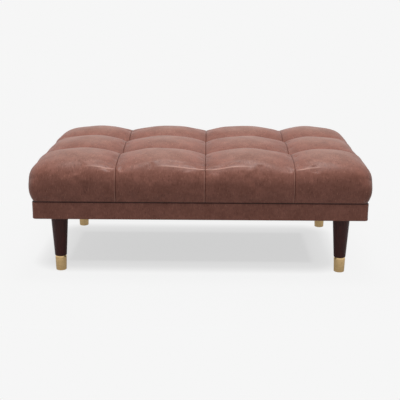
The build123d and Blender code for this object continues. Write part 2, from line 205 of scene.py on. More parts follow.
def biscuit(x, seams, rim, rim_share, sharp, fall):
    """Height share of a row of biscuits at x: 0 on a seam and 1 mid-way. Between two seams it is
    1 - s^2, with s from the middle to the seam, mixed with a cosine valley where sharp is under 1.
    An outer biscuit crowns at 0.4 of its width and falls to rim_share with a power."""
    x = np.asarray(x, float)
    share = np.full(x.shape, float(rim_share))
    edges = np.concatenate([[-rim], seams, [rim]])
    for k in range(len(edges) - 1):
        low, high = edges[k], edges[k + 1]
        if k in (0, len(edges) - 2):
            seam = high if k == 0 else low
            q = np.clip(np.abs(x - seam) / (high - low), 0, 1)
            s = np.abs(0.4 - q) / 0.4
        else:
            q = np.zeros(x.shape)
            s = np.clip(np.abs(x - (low + high) / 2) / ((high - low) / 2), 0, 1)
        dip = s ** 2 * sharp + (0.5 - 0.5 * np.cos(np.pi * s ** 1.25)) * (1 - sharp)
        drop = (1 - rim_share) * (np.clip(q - 0.4, 0, 1) / 0.6) ** fall
        here = (x >= low) & (x <= high)
        share = np.where(here, 1 - np.where(q > 0.4, drop, dip), share)
    return share


def rim_share_of(x, seams, rim):
    """0 up to the crown of the outer biscuit, then evenly up to 1 at the rim."""
    q = np.maximum((seams[0] - x) / (seams[0] + rim), (x - seams[-1]) / (rim - seams[-1]))
    return np.clip((q - 0.4) / 0.6, 0, 1)


def seam_cut(gap, depth, width=SEAM_WIDTH):
    """Depth of a sewn seam: a narrow slot that falls off as exp(-(gap / width)^1.5)."""
    return depth * np.exp(-(np.abs(gap) / width) ** 1.5)


def lap(v, seams):
    """The lapped edge of a sewn seam: a low round lip to the left of each seam."""
    off = np.asarray(v)[..., None] - seams + LAP_SHIFT
    return np.max(np.exp(-(off / LAP_WIDTH) ** 2), axis=-1)


def top_level(x, y):
    """Height of the tufted top: the tuft level, a wave across the columns, a wave along the rows
    and their product, all smaller towards the rims, less the pull of each tuft. The ends are
    fuller by the rows' seams and the back is by the columns', and the back lies a little lower,
    most of all at its left."""
    ex = rim_share_of(x, COLUMN_SEAMS, RIM_HALF[0])
    ey = rim_share_of(y, ROW_SEAMS, RIM_HALF[1])
    a = biscuit(x, COLUMN_SEAMS, RIM_HALF[0], 0.345, 1 - 0.75 * ey, 2.1)
    b = biscuit(y, ROW_SEAMS, RIM_HALF[1], 0.214, 1 - 0.6 * ex, 2.5)
    across = SWELL_ACROSS - (SWELL_ACROSS - RIM_ACROSS) * ey ** 2
    along = SWELL_ALONG - (SWELL_ALONG - RIM_ALONG) * ex ** 3
    pull = np.hypot(nearest(x, COLUMN_SEAMS), nearest(y, ROW_SEAMS))
    tuft = TUFT_PULL * np.exp(-pull / TUFT_REACH)
    lower = (0.0014 - 0.0030 * x) * np.clip(y / 0.3, 0, 1)
    fuller = (0.0043 + 0.0015 * np.sign(x)) * ex ** 3 * (1 - b)
    fuller = fuller + 0.0028 * np.clip((y - 0.15) / 0.12, 0, 1) * (1 - a)
    return TUFT_Z + across * a + along * b + SWELL_BOTH * a * b - tuft - lower + fuller


def side_offset(z, rim_z):
    """Outward place of the side at height z: 0 at the joint, BULGE at its level, 0 at the rim."""
    low = np.clip((z - JOINT_Z) / (BULGE_Z - JOINT_Z), 0, 1)
    high = np.clip((z - BULGE_Z) / (rim_z - BULGE_Z), 0, 1)
    return np.where(z < BULGE_Z, BULGE * (1 - (1 - low) ** 2.25), BULGE * (1 - high ** 2))


def slid(v, full, reach):
    """Places along a side, from its middle, drawn out so that the one at full comes to reach.
    Those within 0.68 of full stay, so that the seams run straight down."""
    free = 0.68 * full
    moved = np.sign(v) * (free + (np.abs(v) - free) * (reach - free) / (full - free))
    return np.where(np.abs(v) > free, moved, v)


def cushion_rows(x_lines, y_lines, corner_steps, n_top, n_roll, n_wall):
    """The columns and rows of the cushion's border. Each column runs from the inner grid over the
    top, round a quadratic arc between the tangents of top and side, which is tight at a seam and
    wide mid-biscuit, and down the bowed side to the joint. A row holds x, y, z, the distance out
    from the rim and the phase: 0 on the top, up to 1 round the arc and up to 2 down the side."""
    inner = RIM_HALF - RIM_RADIUS
    side, place, angle = round_columns(x_lines, y_lines, corner_steps)
    seam_gap = np.where(side % 2 == 0, nearest(place, COLUMN_SEAMS), nearest(place, ROW_SEAMS))
    gap = np.where(side > 3, 0.2, seam_gap)
    lengthwise = np.where(side > 3, np.sin(angle) ** 2, 0.0)
    lengthwise = np.where(side % 2 == 1, 1 - lengthwise, lengthwise)
    widest = WIDE_ROLL[1] + (WIDE_ROLL[0] - WIDE_ROLL[1]) * lengthwise
    roll = TIGHT_ROLL + (widest - TIGHT_ROLL) * np.clip(gap / 0.11, 0, 1) ** 1.2

    def at(d, radius):
        half = (RIM_HALF[0] + d, RIM_HALF[1] + d)
        spots = [slid(place, inner[k], half[k] - radius) for k in (0, 1)]
        return round_plan(side, spots, angle, half, radius)

    def level(d):
        return top_level(*at(d, RIM_RADIUS + d))

    rim_z = level(np.zeros(len(side)))
    start_d = -roll
    start_z = level(start_d)
    start_slope = (start_z - level(start_d - TINY)) / TINY
    end_z = rim_z - 0.9 * roll
    end_d = side_offset(end_z, rim_z)
    end_slope = (end_d - side_offset(end_z - TINY, rim_z)) / TINY
    run = end_d - end_slope * end_z - start_d
    meet_z = (start_z + start_slope * run) / (1 - start_slope * end_slope)
    meet_d = end_d + end_slope * (meet_z - end_z)
    rows = []
    for t in np.arange(1, n_top + 1) / n_top:
        d = -RIM_RADIUS + (start_d + RIM_RADIUS) * t
        x, y = at(d, RIM_RADIUS + d)
        rows.append((x, y, top_level(x, y), d, 0 * d))
    for t in np.arange(1, n_roll + 1) / n_roll:
        d = (1 - t) ** 2 * start_d + 2 * t * (1 - t) * meet_d + t ** 2 * end_d
        z = (1 - t) ** 2 * start_z + 2 * t * (1 - t) * meet_z + t ** 2 * end_z
        x, y = at(d, RIM_RADIUS + d - CORNER_DRAW * t * t * (3 - 2 * t))
        rows.append((x, y, z, d, t + 0 * d))
    # Down the side the corners belly out by up to 3.5 mm and tighten to the foot's radius
    foot = JOINT_Z + CURL
    full_radius = RIM_RADIUS + end_d - CORNER_DRAW
    for t in np.arange(1, n_wall + 1) / n_wall:
        z = end_z + (foot - end_z) * (1 - (1 - t) ** 1.15)
        d = side_offset(z, rim_z)
        down = np.clip((end_z - z) / (end_z - foot), 0, 1)
        k = down ** 1.5
        radius = full_radius * (1 - k) + FOOT_RADIUS * k
        corner = 0.0035 * np.sin(2 * angle) ** 2 * np.sin(np.pi * down)
        x, y = at(d + corner + FOOT_OUT * k, radius)
        rows.append((x, y, z, d, 1 + t + 0 * d))
    # Under the foot the leather curls in, by these degrees, to just over the joint
    for turn in (12, 25, 50, 75, 90):
        back = CURL * (1 - math.cos(math.radians(turn)))
        z = foot - (CURL - 0.0003) * math.sin(math.radians(turn)) + 0 * d
        x, y = at(side_offset(foot, rim_z) + FOOT_OUT - back, FOOT_RADIUS)
        rows.append((x, y, z, d, 2 + 0 * d))
    return (side, place, angle, gap, roll), np.array(rows)


def rim_crease(x, side):
    """Where the leather folds sharply along the long top edges, 0 to 1: on both sides of the
    middle seam and outside the two others. Each span has its ends and how fast it fades in and
    out."""
    spans = [
        (-0.372, -0.268, 0.05, 0.012),
        (-0.150, 0.180, 0.06, 0.06),
        (0.300, 0.395, 0.012, 0.05),
    ]
    fades = [np.clip((x - a) / up, 0, 1) * np.clip((b - x) / down, 0, 1) for a, b, up, down in spans]
    return np.where(side % 2 == 0, np.max(fades, axis=0), 0.0)


def rubbed(x, y):
    """Painted shading of the top, from painted shade at 0 in the tufted valleys to painted light
    at 1 on the crowns: the product of the two biscuit waves, softened."""
    a = biscuit(x, COLUMN_SEAMS, RIM_HALF[0], 0.6, 1.0, 2.0)
    b = biscuit(y, ROW_SEAMS, RIM_HALF[1], 0.6, 1.0, 2.0)
    return np.clip(0.2 + 0.8 * a * b, 0, 1)


def seam_shade(rub, near):
    """The painted shading, brought down along the seams to their own painted shade."""
    return np.maximum(rub * (1 - seam_cut(near, 1.0, 0.0013)), SEAM_PAINTED_SHADE)


def inner_part(x_lines, y_lines):
    """The top within its border, a height grid with its seams cut in: its points, their distance
    from the nearest seam, their painted shading and their painted highlight."""
    x, y = np.meshgrid(x_lines, y_lines, indexing="ij")
    near_x, near_y = nearest(x, COLUMN_SEAMS), nearest(y, ROW_SEAMS)
    z = top_level(x, y)
    cut = np.maximum(seam_cut(near_x, SEAM_DEPTH), seam_cut(near_y, SEAM_DEPTH))
    z = z - cut + STUFFING * ripple(x, y, z) + 0.0004 * lap(x, COLUMN_SEAMS)
    near = np.minimum(near_x, near_y)
    # Painted highlight on the lapped edge to the left of each seam
    painted_highlight = 0.15 * lap(x, COLUMN_SEAMS)
    return np.stack([x, y, z], -1), near, seam_shade(rubbed(x, y), near), painted_highlight


def border_part(columns, rows):
    """The border, pushed out or in along the way that each point faces: its seams are cut in with
    a soft valley and a lapped edge, the rim has its sharp fold with a hollow above it, and the
    stuffing is uneven. Gives the same as inner_part."""
    side, place, angle, gap, roll = columns
    x, y, z, out, phase = (rows[:, k, :] for k in range(5))
    ox, oy = outward(side, angle)
    turned = np.clip(phase, 0, 1)
    lean = turned ** 0.8 * np.pi / 2
    nx, ny, nz = ox * np.sin(lean), oy * np.sin(lean), np.cos(lean)
    # Seams are 2 mm deep by the joint and 3 mm near the top, in a valley that is 3 mm deep there
    high = np.clip((z - JOINT_Z) / 0.09, 0, 1)
    on_top = np.minimum(nearest(x, COLUMN_SEAMS), nearest(y, ROW_SEAMS))
    near = np.where(phase == 0, on_top, gap)
    slot = seam_cut(gap, 1.0) * (0.0020 + 0.0010 * high)
    slot = np.where(phase == 0, seam_cut(on_top, SEAM_DEPTH), slot)
    valley = 0.0030 * np.exp(-gap / 0.020) * turned * high
    # The fold stands 1.4 mm proud half-way round the rim, with a 2.8 mm hollow 20 mm above it
    crease = rim_crease(x, side)
    ridge = crease * np.exp(-((phase - 0.48) * roll / 0.0014) ** 2)
    hollow = 0.0028 * crease * np.exp(-((out + 0.020) / 0.009) ** 2) * (phase < 0.3)
    # The lapped edges of the seams stand 0.8 mm proud, and everything fades out into the joint
    lip = np.where((side % 2 == 0) & (side < 4), lap(place, COLUMN_SEAMS), 0.0) * (phase < 2)
    fold = 0.0014 * ridge + 0.0008 * lip
    uneven = STUFFING * ripple(x, y, z) * np.clip((z - JOINT_Z) / 0.02, 0, 1)
    push = uneven + fold - hollow - slot - valley
    push = push * (0.3 + 0.7 * np.clip((z - JOINT_Z - CURL) / 0.006, 0, 1)) * (phase < 2)
    points = np.stack([x + nx * push, y + ny * push, z + nz * push], -1)
    points[-1, :, 2] = JOINT_Z + 0.0003
    free = np.where(z > JOINT_Z + 2 * CURL, near, 0.0)
    # Painted shading: painted shade in the valleys and seams, painted light on the crowns, a middle
    # painted shade on the sides round the rim and full painted shade in the curl under the foot
    rub = seam_shade(rubbed(x, y) * (1 - turned) + 0.5 * turned, near)
    rub = np.where(phase < 2, rub, 0.0)
    # Painted highlight along the rim's sharp fold and the seams' lapped edges
    painted_highlight = np.maximum(0.70 * ridge, 0.50 * lip * np.clip(phase, 0.3, 1))
    return points, free, rub, painted_highlight


def grid_outline(index, steps):
    """The outline of the inner grid in the order of the border's columns. At each corner of the
    grid one index stands for all the columns of that corner."""
    return np.concatenate([
        index[:, 0], np.full(steps, index[-1, 0]),
        index[-1, :], np.full(steps, index[-1, -1]),
        index[::-1, -1], np.full(steps, index[0, -1]),
        index[0, ::-1], np.full(steps, index[0, 0]),
    ])


def cushion_form(fine, coarse, corner_steps, n_top, n_roll, n_wall):
    """The whole tufted cushion: its inner grid, its border and a flat underside. Grid lines lie
    fine apart on a seam and coarse apart away from it, a corner is turned in corner_steps, and
    the border has n_top rows on the top, n_roll round the rim and n_wall down the side. Gives the
    points and faces, what each point is, and where it lies on the form."""
    inner_half = RIM_HALF - RIM_RADIUS
    x_lines = crowded(-inner_half[0], inner_half[0], COLUMN_SEAMS, fine, coarse, 0.03)
    y_lines = crowded(-inner_half[1], inner_half[1], ROW_SEAMS, fine, coarse, 0.03)
    columns, border = cushion_rows(x_lines, y_lines, corner_steps, n_top, n_roll, n_wall)
    side, place, angle, _, _ = columns
    inner_points, *inner_marks = inner_part(x_lines, y_lines)
    border_points, *border_marks = border_part(columns, border)
    ox, oy = outward(side, angle)
    under = border_points[-1] - np.stack([ox, oy, 0 * ox], -1) * 0.006
    under[:, 2] = JOINT_Z + 0.0002
    parts = [inner_points.reshape(-1, 3), border_points.reshape(-1, 3), under]

    index = np.arange(len(x_lines) * len(y_lines)).reshape(len(x_lines), len(y_lines))
    first = grid_outline(index, corner_steps - 1)
    count = len(side)
    rows = index.size + np.arange((len(border) + 1) * count).reshape(-1, count)
    faces = [grid_cells(index).reshape(-1, 4)]
    for low, high in zip([first, *rows], rows):
        quads, threes = strip(low, high)
        faces.append(quads)
        if len(threes):
            faces.append(threes)
    faces.append(rows[-1][None, ::-1])
    marks = [
        np.concatenate([inner.ravel(), edge.ravel(), np.zeros(count)])
        for inner, edge in zip(inner_marks, border_marks)
    ]
    rows_at = np.concatenate([
        np.arange(1, n_top + 1) / n_top,
        1 + np.arange(1, n_roll + 1) / n_roll,
        2 + np.arange(1, n_wall + 1) / n_wall,
        3 + 0.1 * np.arange(1, len(border) - n_top - n_roll - n_wall + 1),
    ])
    return {
        "points": np.concatenate(parts),
        "faces": faces,
        "free": marks[0],
        "rub": marks[1],
        "ridge": marks[2],
        "lines": (x_lines, y_lines),
        "first": first,
        "round_at": round_the_cushion(side, place, angle),
        "rows_at": rows_at,
    }


def round_the_cushion(side, place, angle):
    """Where each border column lies round the cushion, from 0 to 8: one for each side and one for
    each corner, in turn."""
    inner = RIM_HALF - RIM_RADIUS
    along = place / np.where(side % 2 == 0, inner[0], inner[1])
    along = 0.5 + 0.5 * np.where(side % 4 < 2, along, -along)
    return np.where(side < 4, 2 * side + along, 2 * (side - 4) + 1 + angle / (np.pi / 2))


def filled(form):
    """How each point of a form moves when the cushion is filled: its leather is a cloth, a little
    larger than the form and blown out from inside, sewn fast along its seams and at its foot. The
    move is held to FILL_CAP."""
    stuffed = solid("stuffing", form["points"], form["faces"])
    sewn = stuffed.vertex_groups.new(name="sewn")
    sewn.add(np.flatnonzero(form["free"] < 0.001).tolist(), 1.0, "REPLACE")
    cloth = stuffed.modifiers.new("leather", "CLOTH").settings
    cloth.quality = 5
    cloth.mass = 0.4
    cloth.tension_stiffness = 25
    cloth.compression_stiffness = 25
    cloth.shear_stiffness = 8
    cloth.bending_stiffness = 1.0
    cloth.air_damping = 2
    cloth.vertex_group_mass = "sewn"
    cloth.shrink_min = FILL_SPARE
    cloth.use_pressure = True
    cloth.uniform_pressure_force = 4
    cloth.effector_weights.gravity = 0
    for frame_number in range(1, 21):
        bpy.context.scene.frame_set(frame_number)
    seen = stuffed.evaluated_get(bpy.context.evaluated_depsgraph_get())
    moved = np.empty(len(form["points"]) * 3, np.float32)
    seen.data.vertices.foreach_get("co", moved)
    bpy.context.scene.frame_set(1)
    mesh = stuffed.data
    bpy.data.objects.remove(stuffed)
    bpy.data.meshes.remove(mesh)
    move = moved.reshape(-1, 3) - form["points"]
    length = np.linalg.norm(move, axis=1, keepdims=True)
    return move / np.sqrt(1 + (length / FILL_CAP) ** 2)


def spread(values, at, new_at):
    """Values known at places carried to new places by a cubic curve through them, whose slope at
    each is that of its neighbours."""
    slope = np.gradient(values, at, axis=0)
    k = np.clip(np.searchsorted(at, new_at, side="right") - 1, 0, len(at) - 2)
    shape = (-1,) + (1,) * (values.ndim - 1)
    step = (at[k + 1] - at[k]).reshape(shape)
    t = np.clip((new_at - at[k]).reshape(shape) / step, 0, 1)
    low = (2 * t ** 3 - 3 * t ** 2 + 1) * values[k] + (t ** 3 - 2 * t ** 2 + t) * step * slope[k]
    high = (3 * t ** 2 - 2 * t ** 3) * values[k + 1] + (t ** 3 - t ** 2) * step * slope[k + 1]
    return low + high


def carried(move, coarse, fine):
    """The filling's move on the coarse form carried to the fine one: over the inner grid by its
    lines, and over the border by the place round the cushion and down its rows."""
    cx, cy = coarse["lines"]
    fx, fy = fine["lines"]
    inner = move[:len(cx) * len(cy)].reshape(len(cx), len(cy), 3)
    inner = spread(inner, cx, fx)
    inner = spread(inner.swapaxes(0, 1), cy, fy).swapaxes(0, 1)
    around = coarse["round_at"]
    count = len(around)
    edge = move[coarse["first"]][None]
    border = move[len(cx) * len(cy):-count].reshape(-1, count, 3)
    rows_at = np.concatenate([[0], coarse["rows_at"]])
    border = spread(np.concatenate([edge, border]), rows_at, fine["rows_at"])
    border = border.swapaxes(0, 1)
    border = np.concatenate([border[-2:], border, border[:2]])
    around = np.concatenate([around[-2:] - 8, around, around[:2] + 8])
    border = spread(border, around, fine["round_at"]).swapaxes(0, 1)
    under = np.zeros((len(fine["round_at"]), 3))
    return np.concatenate([inner.reshape(-1, 3), border.reshape(-1, 3), under])


def make_cushion():
    """The tufted cushion: a coarse form is filled as a cloth, and its move is carried to the fine
    form, fading to nothing on the seams, which keeps them sharp."""
    coarse = cushion_form(0.0060, 0.0120, 6, 7, 9, 10)
    fine = cushion_form(0.0007, 0.0058, 16, 18, 24, 18)
    move = carried(filled(coarse), coarse, fine)
    move = move * (1 - np.exp(-(fine["free"][:, None] / SEWN_REACH) ** 2))
    made = solid("tufted_cushion", fine["points"] + move, fine["faces"])
    # The painted shading and the painted highlight go on the cushion for its material to read
    mark(made, "rub", fine["rub"])
    mark(made, "ridge", fine["ridge"])
    return made


# Base band and underside


def make_band():
    """The leather band with its thin padding: a C-shaped profile carried round the frame, with
    rounded long edges, turned in over the rails at top and bottom, and faintly wavy as stapled
    leather is."""
    low, high = BAND_LOW, JOINT_Z
    r = BAND_EDGE
    arc = np.linspace(0, np.pi / 2, 6)
    wall = LEATHER + PADDING
    profile = [(0.0, z) for z in np.linspace(low + r, high - r, 15)]
    profile += [(r - r * np.cos(a), high - r + r * np.sin(a)) for a in arc[1:]]
    profile += [(inset, high) for inset in (0.009, 0.016, TURN_IN)]
    profile += [(inset, high - LEATHER) for inset in (TURN_IN, 0.012, wall)]
    profile += [(wall, 0.226)]      # about half-way up the padding's back
    profile += [(inset, low + LEATHER) for inset in (wall, 0.012, TURN_IN)]
    profile += [(inset, low) for inset in (TURN_IN, 0.016, 0.009, r)]
    profile += [(r - r * np.cos(a), low + r - r * np.sin(a)) for a in arc[::-1][1:-1]]
    x_share, y_share = (np.linspace(-1, 1, int(2 * half / 0.0065)) for half in BAND_HALF)
    side, share, angle = round_columns(x_share, y_share, 8)
    ox, oy = outward(side, angle)
    rows = []
    for inset, z in profile:
        half = BAND_HALF - inset
        radius = max(BAND_RADIUS - inset, 0.0008)
        spots = [share * (half[k] - radius) for k in (0, 1)]
        x, y = round_plan(side, spots, angle, half, radius)
        up = np.clip((z - low) / (high - low), 0, 1)
        full = np.clip(1 - inset / 0.003, 0, 1) * np.sin(np.pi * up) ** 0.7
        wave = 0.00055 * full * (ripple(x, y, z * 1.4) - 0.3)
        rows.append(np.stack([x + ox * wave, y + oy * wave, np.full(len(x), z)], -1))
    points = np.array(rows)
    index = np.arange(points.shape[0] * len(side)).reshape(-1, len(side))
    faces = []
    for a, b in zip(index, np.roll(index, -1, axis=0)):
        faces.append(np.stack([a, np.roll(a, -1), np.roll(b, -1), b], 1))
    made = solid("base_band", points.reshape(-1, 3), faces)
    # Painted shade: the band takes the sides' middle painted shade, going to full painted shade along
    # its top edge in the joint groove
    mark(made, "rub", 0.5 * np.clip((high - 0.0013 - points[:, :, 2]) / 0.0014, 0, 1))
    return made


def make_underside_cloth():
    """The dust cover: a grid whose outline is bent to the rounded rectangle, with a round hole at
    each leg made by pushing the nearest points out to the hole's edge, two skins thick. It sags
    as a flat product of cosines, none at the stapled edge, and is faintly puckered."""
    edge = LEG_HOLE * 0.92      # cells nearer to a leg than this are left out
    lines = [
        crowded(-CLOTH_HALF[k], CLOTH_HALF[k], np.array([-LEG_AT[k], LEG_AT[k]]), 0.003, 0.012, 0.10)
        for k in (0, 1)
    ]
    grid = np.stack(np.meshgrid(*lines, indexing="ij"), -1)
    leg = np.where(grid > 0, LEG_AT, -LEG_AT)
    off = grid - leg
    square = np.abs(off).max(axis=-1, keepdims=True)
    away = np.maximum(np.hypot(off[..., :1], off[..., 1:]), 1e-9)
    ring = leg + off / away * LEG_HOLE * np.maximum(square / edge, 1.0)
    bent = grid + (ring - grid) * np.clip((0.05 - square) / (0.05 - edge), 0, 1)
    inside = square[..., 0] < edge
    cells = grid_cells(np.arange(inside.size).reshape(inside.shape))
    cells = cells[~grid_cells(inside).any(axis=-1)]
    used, cells = np.unique(cells, return_inverse=True)
    cells = cells.reshape(-1, 4)

    flat = bent.reshape(-1, 2)[used]
    straight = CLOTH_HALF - CLOTH_RADIUS
    over = np.maximum(np.abs(flat) - straight, 0) / CLOTH_RADIUS
    bowed = over * np.sqrt(1 - over[:, ::-1] ** 2 / 2)
    at_corner = (over > 0).all(axis=1, keepdims=True)
    flat = np.where(at_corner, np.sign(flat) * (straight + CLOTH_RADIUS * bowed), flat)
    share = np.clip(flat / (0.5, 0.31), -1, 1)
    sag = 0.0030 * np.prod(np.cos(np.pi / 2 * share), axis=1)
    pucker = 0.0001 * np.prod(np.sin(flat * 2 * np.pi / 0.045), axis=1)
    level = BAND_LOW - 0.0002 - sag + pucker
    top = np.column_stack([flat, level])
    low = np.column_stack([flat, level - CLOTH_THICKNESS])

    edges = np.concatenate([cells[:, [k, (k + 1) % 4]] for k in range(4)])
    _, back, times = np.unique(np.sort(edges, axis=1), axis=0, return_inverse=True, return_counts=True)
    rim = edges[times[back.ravel()] == 1]
    count = len(flat)
    wall = np.column_stack([rim[:, ::-1], rim + count])
    faces = [cells, cells[:, ::-1] + count, wall]
    return solid("underside_cloth", np.concatenate([top, low]), faces, smooth=False)


def make_staples():
    """Wire staples round the edge of the underside cloth: each a flat U whose crown lies on the
    cloth, swept along three runs, set a little unevenly."""
    spots = []
    for k in (0, 1):
        half = CLOTH_HALF[k] - 0.02
        other = CLOTH_HALF[1 - k] - 0.007
        count = int(2 * half / STAPLE_PITCH)
        along = np.linspace(-half, half, count)
        shake = 0.00132 * np.sin(np.arange(count) * 2.4 + k)
        turn = 0.10 * np.sin(np.arange(count) * 1.7 + 0.6 + k)
        for way in (-1, 1):
            across = way * other + shake
            place = [along, across] if k == 0 else [across, along]
            spots.append(np.stack([*place, way * turn + k * np.pi / 2], -1))
    spots = np.concatenate(spots)
    run = np.array([-0.5, -0.44, 0.44, 0.5]) * STAPLE_CROWN
    rise = np.array([0.0006, 0.0, 0.0, 0.0006])
    wire = np.array([(-0.5, 0.0), (-0.3, -1.0), (0.3, -1.0), (0.5, 0.0), (0.3, 0.5), (-0.3, 0.5)])
    u = run[None, :, None]
    v = wire[None, None, :, 0] * STAPLE_WIRE * 2
    z = BAND_LOW - 0.0012 + rise[None, :, None] + wire[None, None, :, 1] * STAPLE_WIRE / 2
    c, s = np.cos(spots[:, 2])[:, None, None], np.sin(spots[:, 2])[:, None, None]
    x = spots[:, 0][:, None, None] + u * c - v * s
    y = spots[:, 1][:, None, None] + u * s + v * c
    points = np.stack(np.broadcast_arrays(x, y, z), -1)
    index = np.arange(len(spots) * 24).reshape(-1, 4, 6)
    a, b = index[:, :-1, :], index[:, 1:, :]
    sides = np.stack([np.roll(a, -1, axis=2), np.roll(b, -1, axis=2), b, a], -1).reshape(-1, 4)
    caps = np.concatenate([index[:, 0, ::-1], index[:, -1, :]])
    return solid("underside_staples", points.reshape(-1, 3), [sides, caps], smooth=False)


# Materials


def paint(hex_code):
    """An sRGB hex colour as the linear colour that a shader reads."""
    v = np.array([int(hex_code[i:i + 2], 16) for i in (1, 3, 5)]) / 255
    linear = np.where(v <= 0.04045, v / 12.92, ((v + 0.055) / 1.055) ** 2.4)
    return (*[float(c) for c in linear], 1.0)


def connect(tree, target, inputs):
    """Sets a node's inputs: one given as a socket is linked, any other is set on the input."""
    for name, value in inputs.items():
        if isinstance(value, bpy.types.NodeSocket):
            tree.links.new(value, target.inputs[name])
        else:
            target.inputs[name].default_value = value


def node(tree, kind, inputs=None, stops=(), **settings):
    """Adds one node with its settings and inputs. The stops of a colour ramp are pairs of a
    position and a colour."""
    made = tree.nodes.new(kind)
    for name, value in settings.items():
        setattr(made, name, value)
    connect(tree, made, inputs or {})
    for _ in stops[2:]:
        made.color_ramp.elements.new(0.5)
    for k, (position, tint) in enumerate(stops):
        made.color_ramp.elements[k].position = position
        made.color_ramp.elements[k].color = tint
    return made


def material(name):
    """A new material: the material, its node tree, its shader and the object's coordinates."""
    made = bpy.data.materials.new(name)
    made.use_nodes = True
    tree = made.node_tree
    shader = next(n for n in tree.nodes if n.type == "BSDF_PRINCIPLED")
    return made, tree, shader, node(tree, "ShaderNodeTexCoord").outputs["Object"]


def leather_finish(name, dark, mid, light):
    """Semi-aniline leather, drum-dyed and lightly polished: a soft satin hide with a faint mottle
    some 10 mm wide over clouds of 40 mm, short upright nicks of up to 3 mm by 12 mm where the
    grain has opened pale or dark, and a pebbled grain of about 2 mm, drawn a little coarse so that
    it shows. Its folds carry a painted highlight, its crowns painted light, and its valleys, seams
    and sides painted shade."""
    made, tree, shader, place = material(name)
    clouds = node(tree, "ShaderNodeTexNoise", {
        "Vector": place, "Scale": 24.0, "Detail": 2.0, "Roughness": 0.5,
    })
    mottle = node(tree, "ShaderNodeTexNoise", {
        "Vector": place, "Scale": 90.0, "Detail": 4.0, "Roughness": 0.55,
    })
    both = node(tree, "ShaderNodeMix", {
        0: 0.5, 2: clouds.outputs["Fac"], 3: mottle.outputs["Fac"],
    }, data_type="FLOAT")
    dye = node(tree, "ShaderNodeValToRGB", {"Fac": both.outputs[0]}, stops=[
        (0.37, paint(dark)),
        (0.50, paint(mid)),
        (0.63, paint(light)),
    ])
    drawn = node(tree, "ShaderNodeMapping", {"Vector": place, "Scale": (360.0, 120.0, 80.0)})
    nicks = node(tree, "ShaderNodeTexNoise", {
        "Vector": drawn.outputs["Vector"], "Scale": 1.0, "Detail": 3.0, "Roughness": 0.6,
    })
    pale = node(tree, "ShaderNodeMapRange", {
        "Value": nicks.outputs["Fac"], "From Min": 0.59, "From Max": 0.69, "To Max": 0.62,
    })
    hide = node(tree, "ShaderNodeMix", {
        0: pale.outputs[0], 6: dye.outputs["Color"], 7: paint("#BC8D7C"),
    }, data_type="RGBA")
    opened = node(tree, "ShaderNodeMapRange", {
        "Value": nicks.outputs["Fac"], "From Min": 0.41, "From Max": 0.31, "To Max": 0.64,
    })
    hide = node(tree, "ShaderNodeMix", {
        0: opened.outputs[0], 6: hide.outputs[2], 7: paint("#5E382F"),
    }, data_type="RGBA")
    # Painted highlight: the rim's fold and the seams' lapped edges are mixed towards a pale colour
    ridge = node(tree, "ShaderNodeAttribute", attribute_name="ridge")
    hide = node(tree, "ShaderNodeMix", {
        0: ridge.outputs["Fac"], 6: hide.outputs[2], 7: paint("#D3AFA2"),
    }, data_type="RGBA")
    # Painted shading multiplied into the dye: painted shade in the valleys, seams, joint groove and on
    # the sides, and the full dye as painted light on the crowns
    rub = node(tree, "ShaderNodeAttribute", attribute_name="rub")
    shade = node(tree, "ShaderNodeValToRGB", {"Fac": rub.outputs["Fac"]}, stops=[
        (0.0, (0.09, 0.02, 0.012, 1.0)),
        (0.06, (0.30, 0.13, 0.10, 1.0)),
        (0.12, (0.72, 0.58, 0.55, 1.0)),
        (0.5, (0.94, 0.77, 0.735, 1.0)),
        (0.95, (1.0, 1.0, 1.0, 1.0)),
    ])
    shaded_dye = node(tree, "ShaderNodeMix", {
        0: 1.0, 6: hide.outputs[2], 7: shade.outputs["Color"],
    }, data_type="RGBA", blend_type="MULTIPLY")
    pebble = node(tree, "ShaderNodeTexVoronoi", {
        "Vector": place, "Scale": 430.0, "Randomness": 1.0,
    }, feature="SMOOTH_F1")
    creased = node(tree, "ShaderNodeTexNoise", {"Vector": place, "Scale": 900.0, "Detail": 2.0})
    grain = node(tree, "ShaderNodeMix", {
        0: 0.35, 2: pebble.outputs["Distance"], 3: creased.outputs["Fac"],
    }, data_type="FLOAT")
    relief = node(tree, "ShaderNodeBump", {
        "Strength": 0.35, "Distance": 0.0006, "Height": grain.outputs[0],
    })
    scratch = node(tree, "ShaderNodeBump", {
        "Strength": 0.45, "Distance": 0.0010, "Height": nicks.outputs["Fac"],
        "Normal": relief.outputs["Normal"],
    })
    gloss = node(tree, "ShaderNodeMapRange", {
        "Value": mottle.outputs["Fac"], "From Min": 0.3, "From Max": 0.7,
        "To Min": 0.42, "To Max": 0.52,
    })
    connect(tree, shader, {
        "Base Color": shaded_dye.outputs[2],
        "Normal": scratch.outputs["Normal"],
        "Roughness": gloss.outputs[0],
        "Specular IOR Level": 0.30,
        "IOR": 1.5,
        "Sheen Weight": 0.02,
        "Sheen Roughness": 0.45,
    })
    return made


def stained_walnut():
    """Dark-stained turned hardwood under a satin lacquer: near black with a little red-brown along
    the grain, whose streaks run down the leg about 2 mm apart, and a soft clear coat."""
    made, tree, shader, place = material("dark_stained_lacquered_wood")
    along = node(tree, "ShaderNodeMapping", {"Vector": place, "Scale": (420.0, 420.0, 14.0)})
    streaks = node(tree, "ShaderNodeTexNoise", {
        "Vector": along.outputs["Vector"], "Scale": 1.0, "Detail": 4.0, "Roughness": 0.6,
    })
    tone = node(tree, "ShaderNodeValToRGB", {"Fac": streaks.outputs["Fac"]}, stops=[
        (0.30, paint("#2D100D")),
        (0.55, paint("#421A16")),
        (0.75, paint("#5A2720")),
    ])
    relief = node(tree, "ShaderNodeBump", {
        "Strength": 0.12, "Distance": 0.0003, "Height": streaks.outputs["Fac"],
    })
    connect(tree, shader, {
        "Base Color": tone.outputs["Color"],
        "Normal": relief.outputs["Normal"],
        "Roughness": 0.50,
        "Specular IOR Level": 0.25,
        "Coat Weight": 0.06,
        "Coat Roughness": 0.30,
    })
    return made


